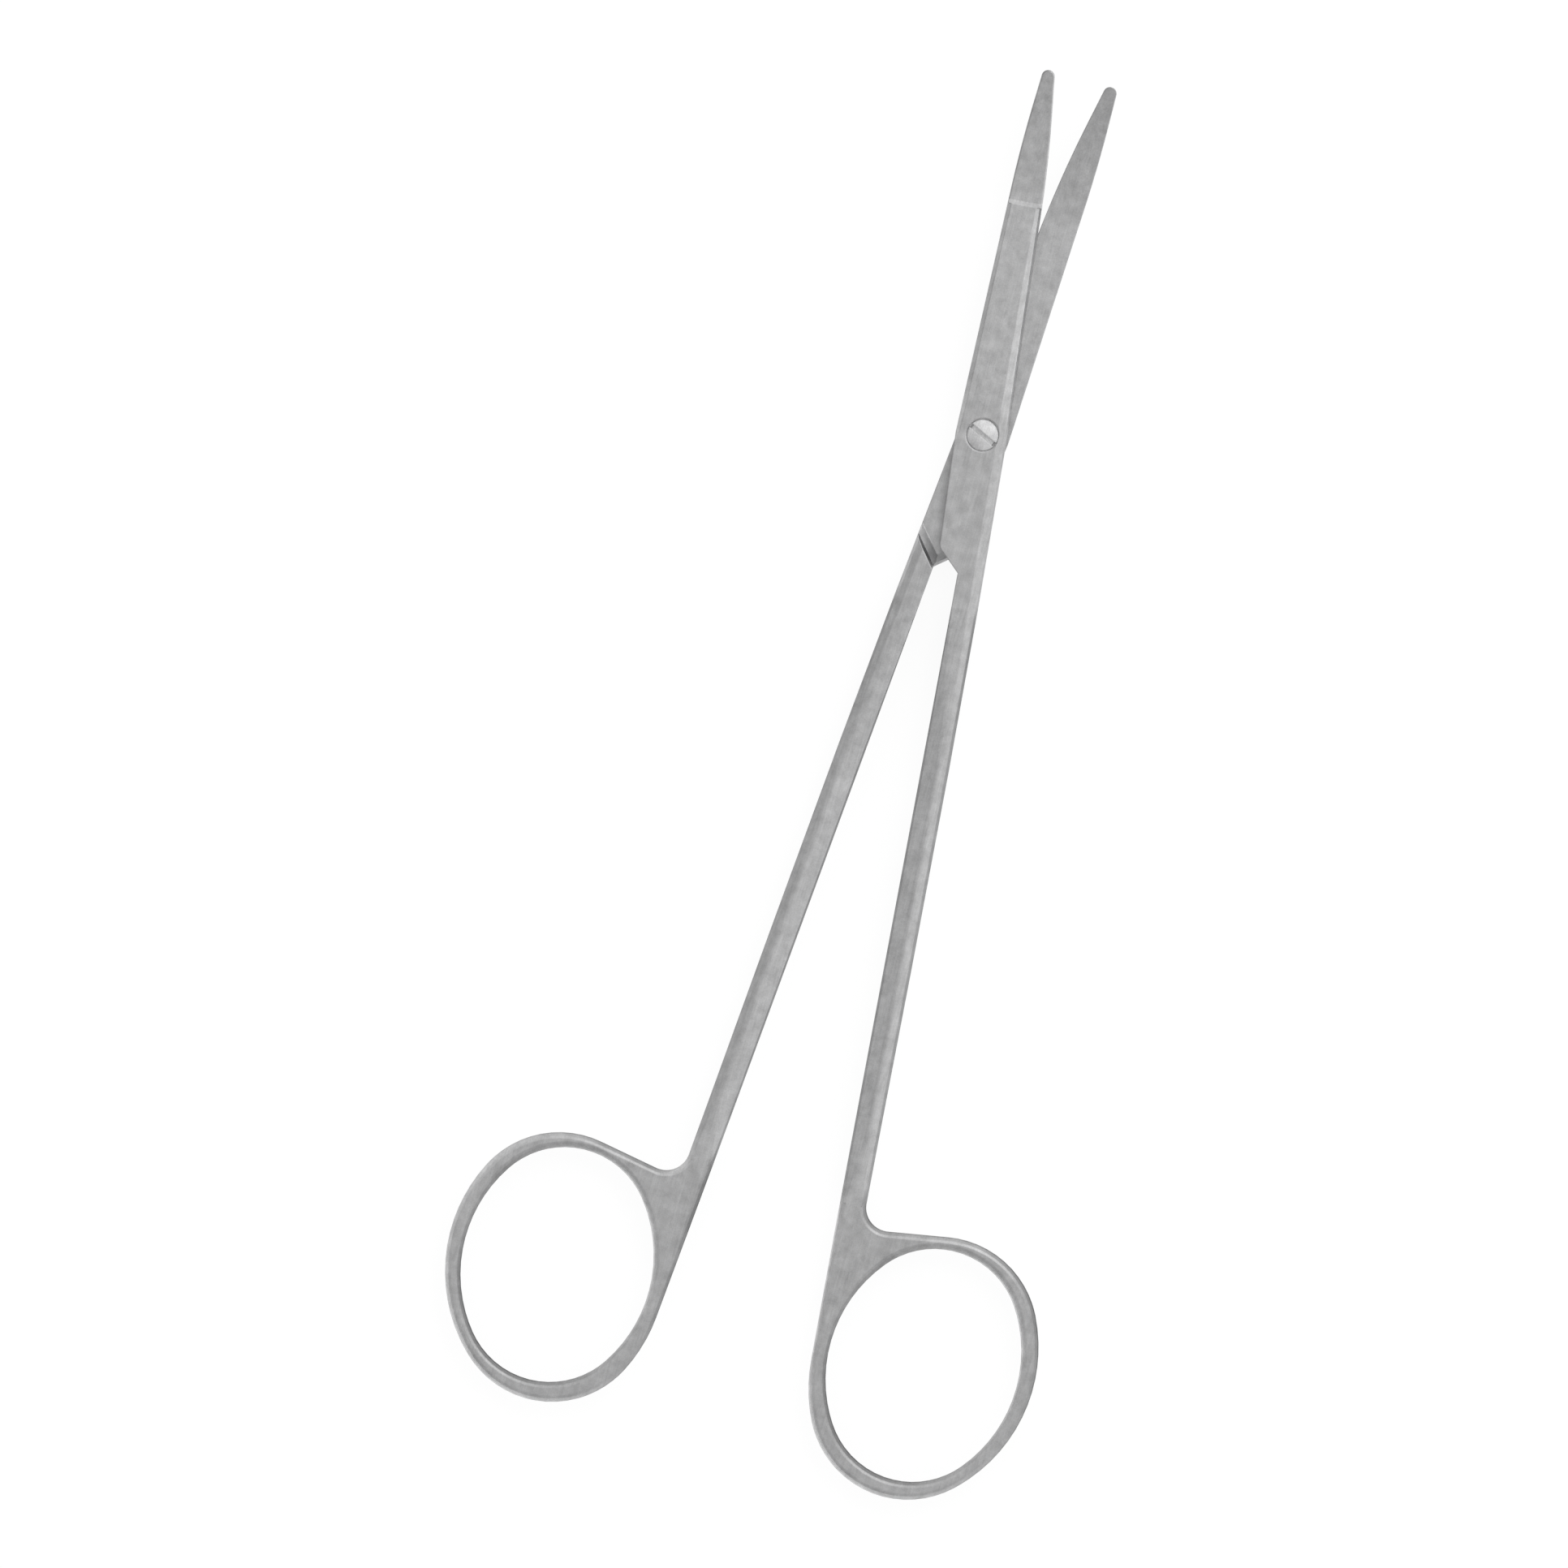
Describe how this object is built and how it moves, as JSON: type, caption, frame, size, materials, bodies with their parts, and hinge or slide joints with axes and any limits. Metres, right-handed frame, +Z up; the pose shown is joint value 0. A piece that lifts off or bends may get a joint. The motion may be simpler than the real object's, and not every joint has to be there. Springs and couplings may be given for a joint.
{
  "type": "dissecting scissors",
  "caption": "Slender ring-handled surgical scissors with short blunt curved blades, long faceted shanks and a slotted pivot screw in a half-lap joint",
  "frame": {"origin": "on the pivot axis, in the plane of the flat underside of the joint that the scissors rest on", "axes": "+Y runs from the pivot towards the blade tips along the bisector of the open halves, +Z is up along the pivot axis, towards the screw head and the side the tips curve to, +X is the side of the upper half's finger ring"},
  "size_m": [0.0758, 0.1781, 0.0077],
  "materials": {
    "satin_steel": "satin",
    "screw_steel": "bright turned"
  },
  "bodies": {
    "lower_half": {"lower_blade_half": "satin_steel", "pivot_screw": "screw_steel"},
    "upper_half": {"upper_blade_half": "satin_steel"}
  },
  "joints": [
    {"name": "pivot", "type": "hinge", "parent": "lower_half", "child": "upper_half", "pos_m": [0, 0, 0.0024], "axis": [0, 0, 1], "range_deg": [-9.6, 80]}
  ]
}
